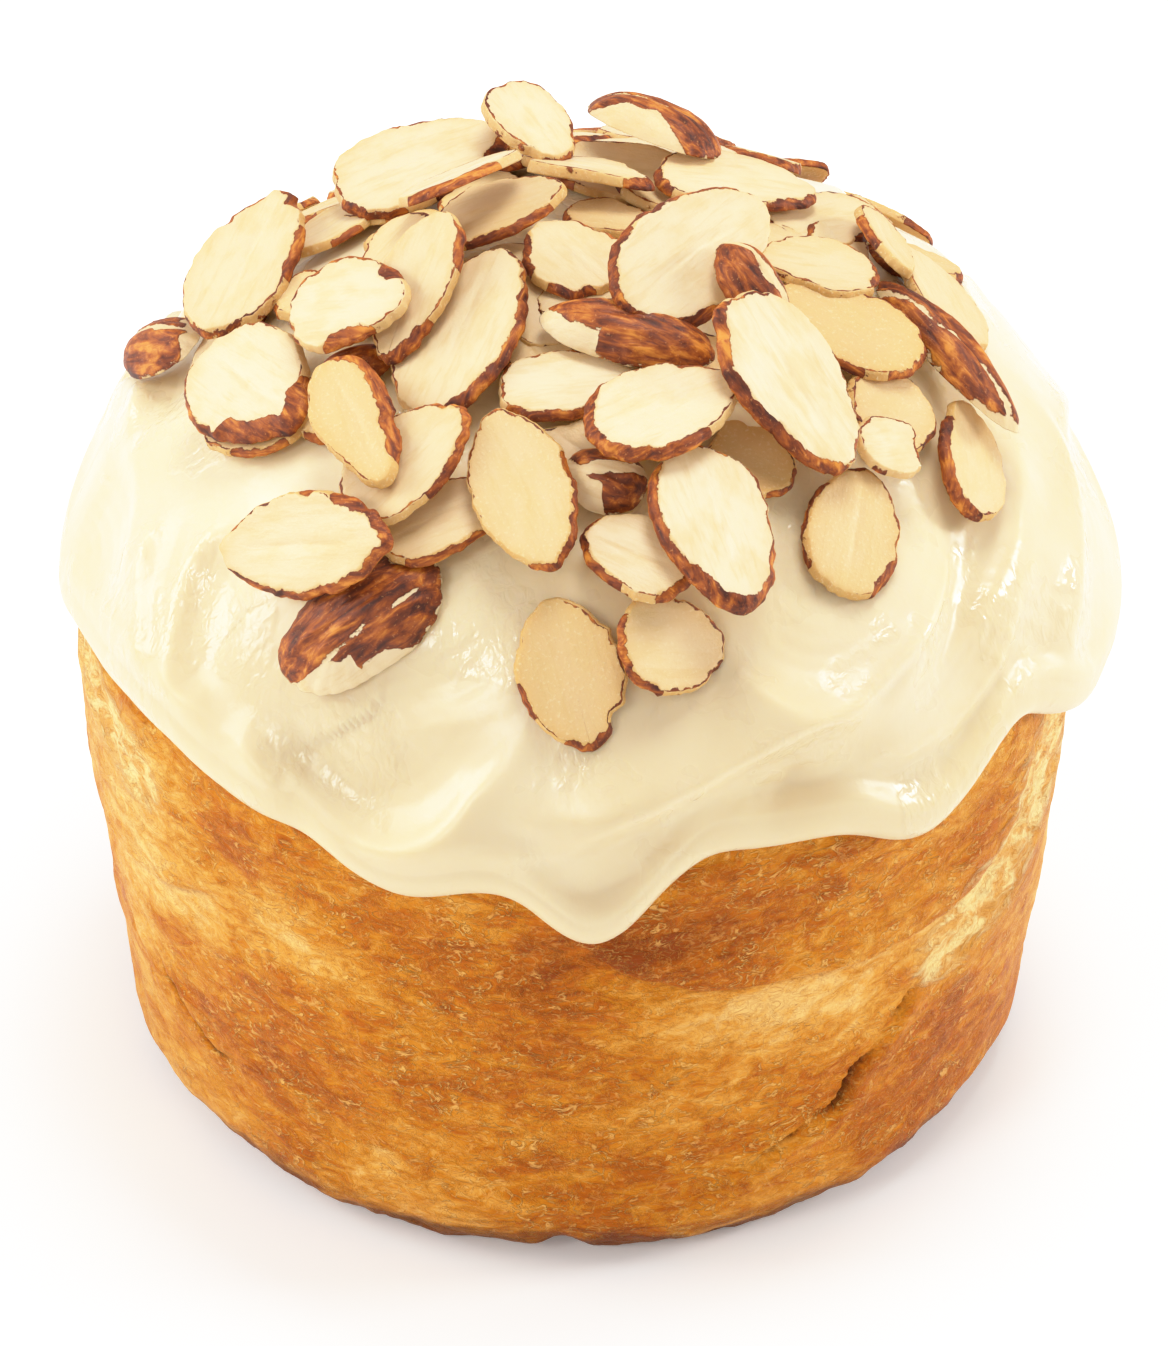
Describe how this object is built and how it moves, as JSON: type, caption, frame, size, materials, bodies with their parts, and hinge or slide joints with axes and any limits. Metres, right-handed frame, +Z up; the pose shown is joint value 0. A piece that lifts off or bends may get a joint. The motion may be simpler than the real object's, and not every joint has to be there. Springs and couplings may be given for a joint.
{
  "type": "almond roll",
  "caption": "Tall round baked roll with a flat base and a domed crown, capped with thick frosting that runs over its shoulder and a heap of flaked almonds.",
  "frame": {"origin": "centre of the flat base, on the surface that the roll stands on", "axes": "+Z up through the crown, -Y towards the roll's front, +X to the right as seen from the front"},
  "size_m": [0.1209, 0.1205, 0.1143],
  "materials": {
    "crust": "golden-brown baked crust, matt to satin",
    "frosting": "glossy pale cream, smoothed with a knife",
    "almond": "matt cut face of a blanched-looking nut, with brown skin left round the rim",
    "almond_skin": "wrinkled brown almond skin"
  },
  "bodies": {
    "root": {"almond_flake_01": "almond", "almond_flake_02": "almond", "almond_flake_03": "almond", "almond_flake_04": "almond", "almond_flake_05": "almond", "almond_flake_06": "almond", "almond_flake_07": "almond", "almond_flake_08": "almond", "almond_flake_09": "almond", "almond_flake_10": "almond", "almond_flake_11": "almond", "almond_flake_12": "almond", "almond_flake_13": "almond", "almond_flake_14": "almond", "almond_flake_15": "almond", "almond_flake_16": "almond", "almond_flake_17": "almond", "almond_flake_18": "almond", "almond_flake_19": "almond", "almond_flake_20": "almond", "almond_flake_21": "almond", "almond_flake_22": "almond", "almond_flake_23": "almond", "almond_flake_24": "almond", "almond_flake_25": "almond", "almond_flake_26": "almond", "almond_flake_27": "almond", "almond_flake_28": "almond", "almond_flake_29": "almond", "almond_flake_30": "almond", "almond_flake_31": "almond", "almond_flake_32": "almond", "almond_flake_33": "almond", "almond_flake_34": "almond", "almond_flake_35": "almond", "almond_flake_36": "almond", "almond_flake_37": "almond", "almond_flake_38": "almond", "almond_flake_39": "almond", "almond_flake_40": "almond", "almond_flake_41": "almond", "almond_flake_42": "almond", "almond_flake_43": "almond", "almond_flake_44": "almond", "almond_flake_45": "almond", "almond_flake_46": "almond", "almond_flake_47": "almond", "almond_flake_48": "almond", "almond_flake_49": "almond", "almond_heel_01": "almond_skin", "almond_heel_02": "almond_skin", "almond_heel_03": "almond_skin", "almond_heel_04": "almond_skin", "almond_heel_05": "almond_skin", "almond_heel_06": "almond_skin", "almond_heel_07": "almond_skin", "almond_heel_08": "almond_skin", "almond_heel_09": "almond_skin", "bread": "crust", "frosting": "frosting"}
  },
  "joints": []
}
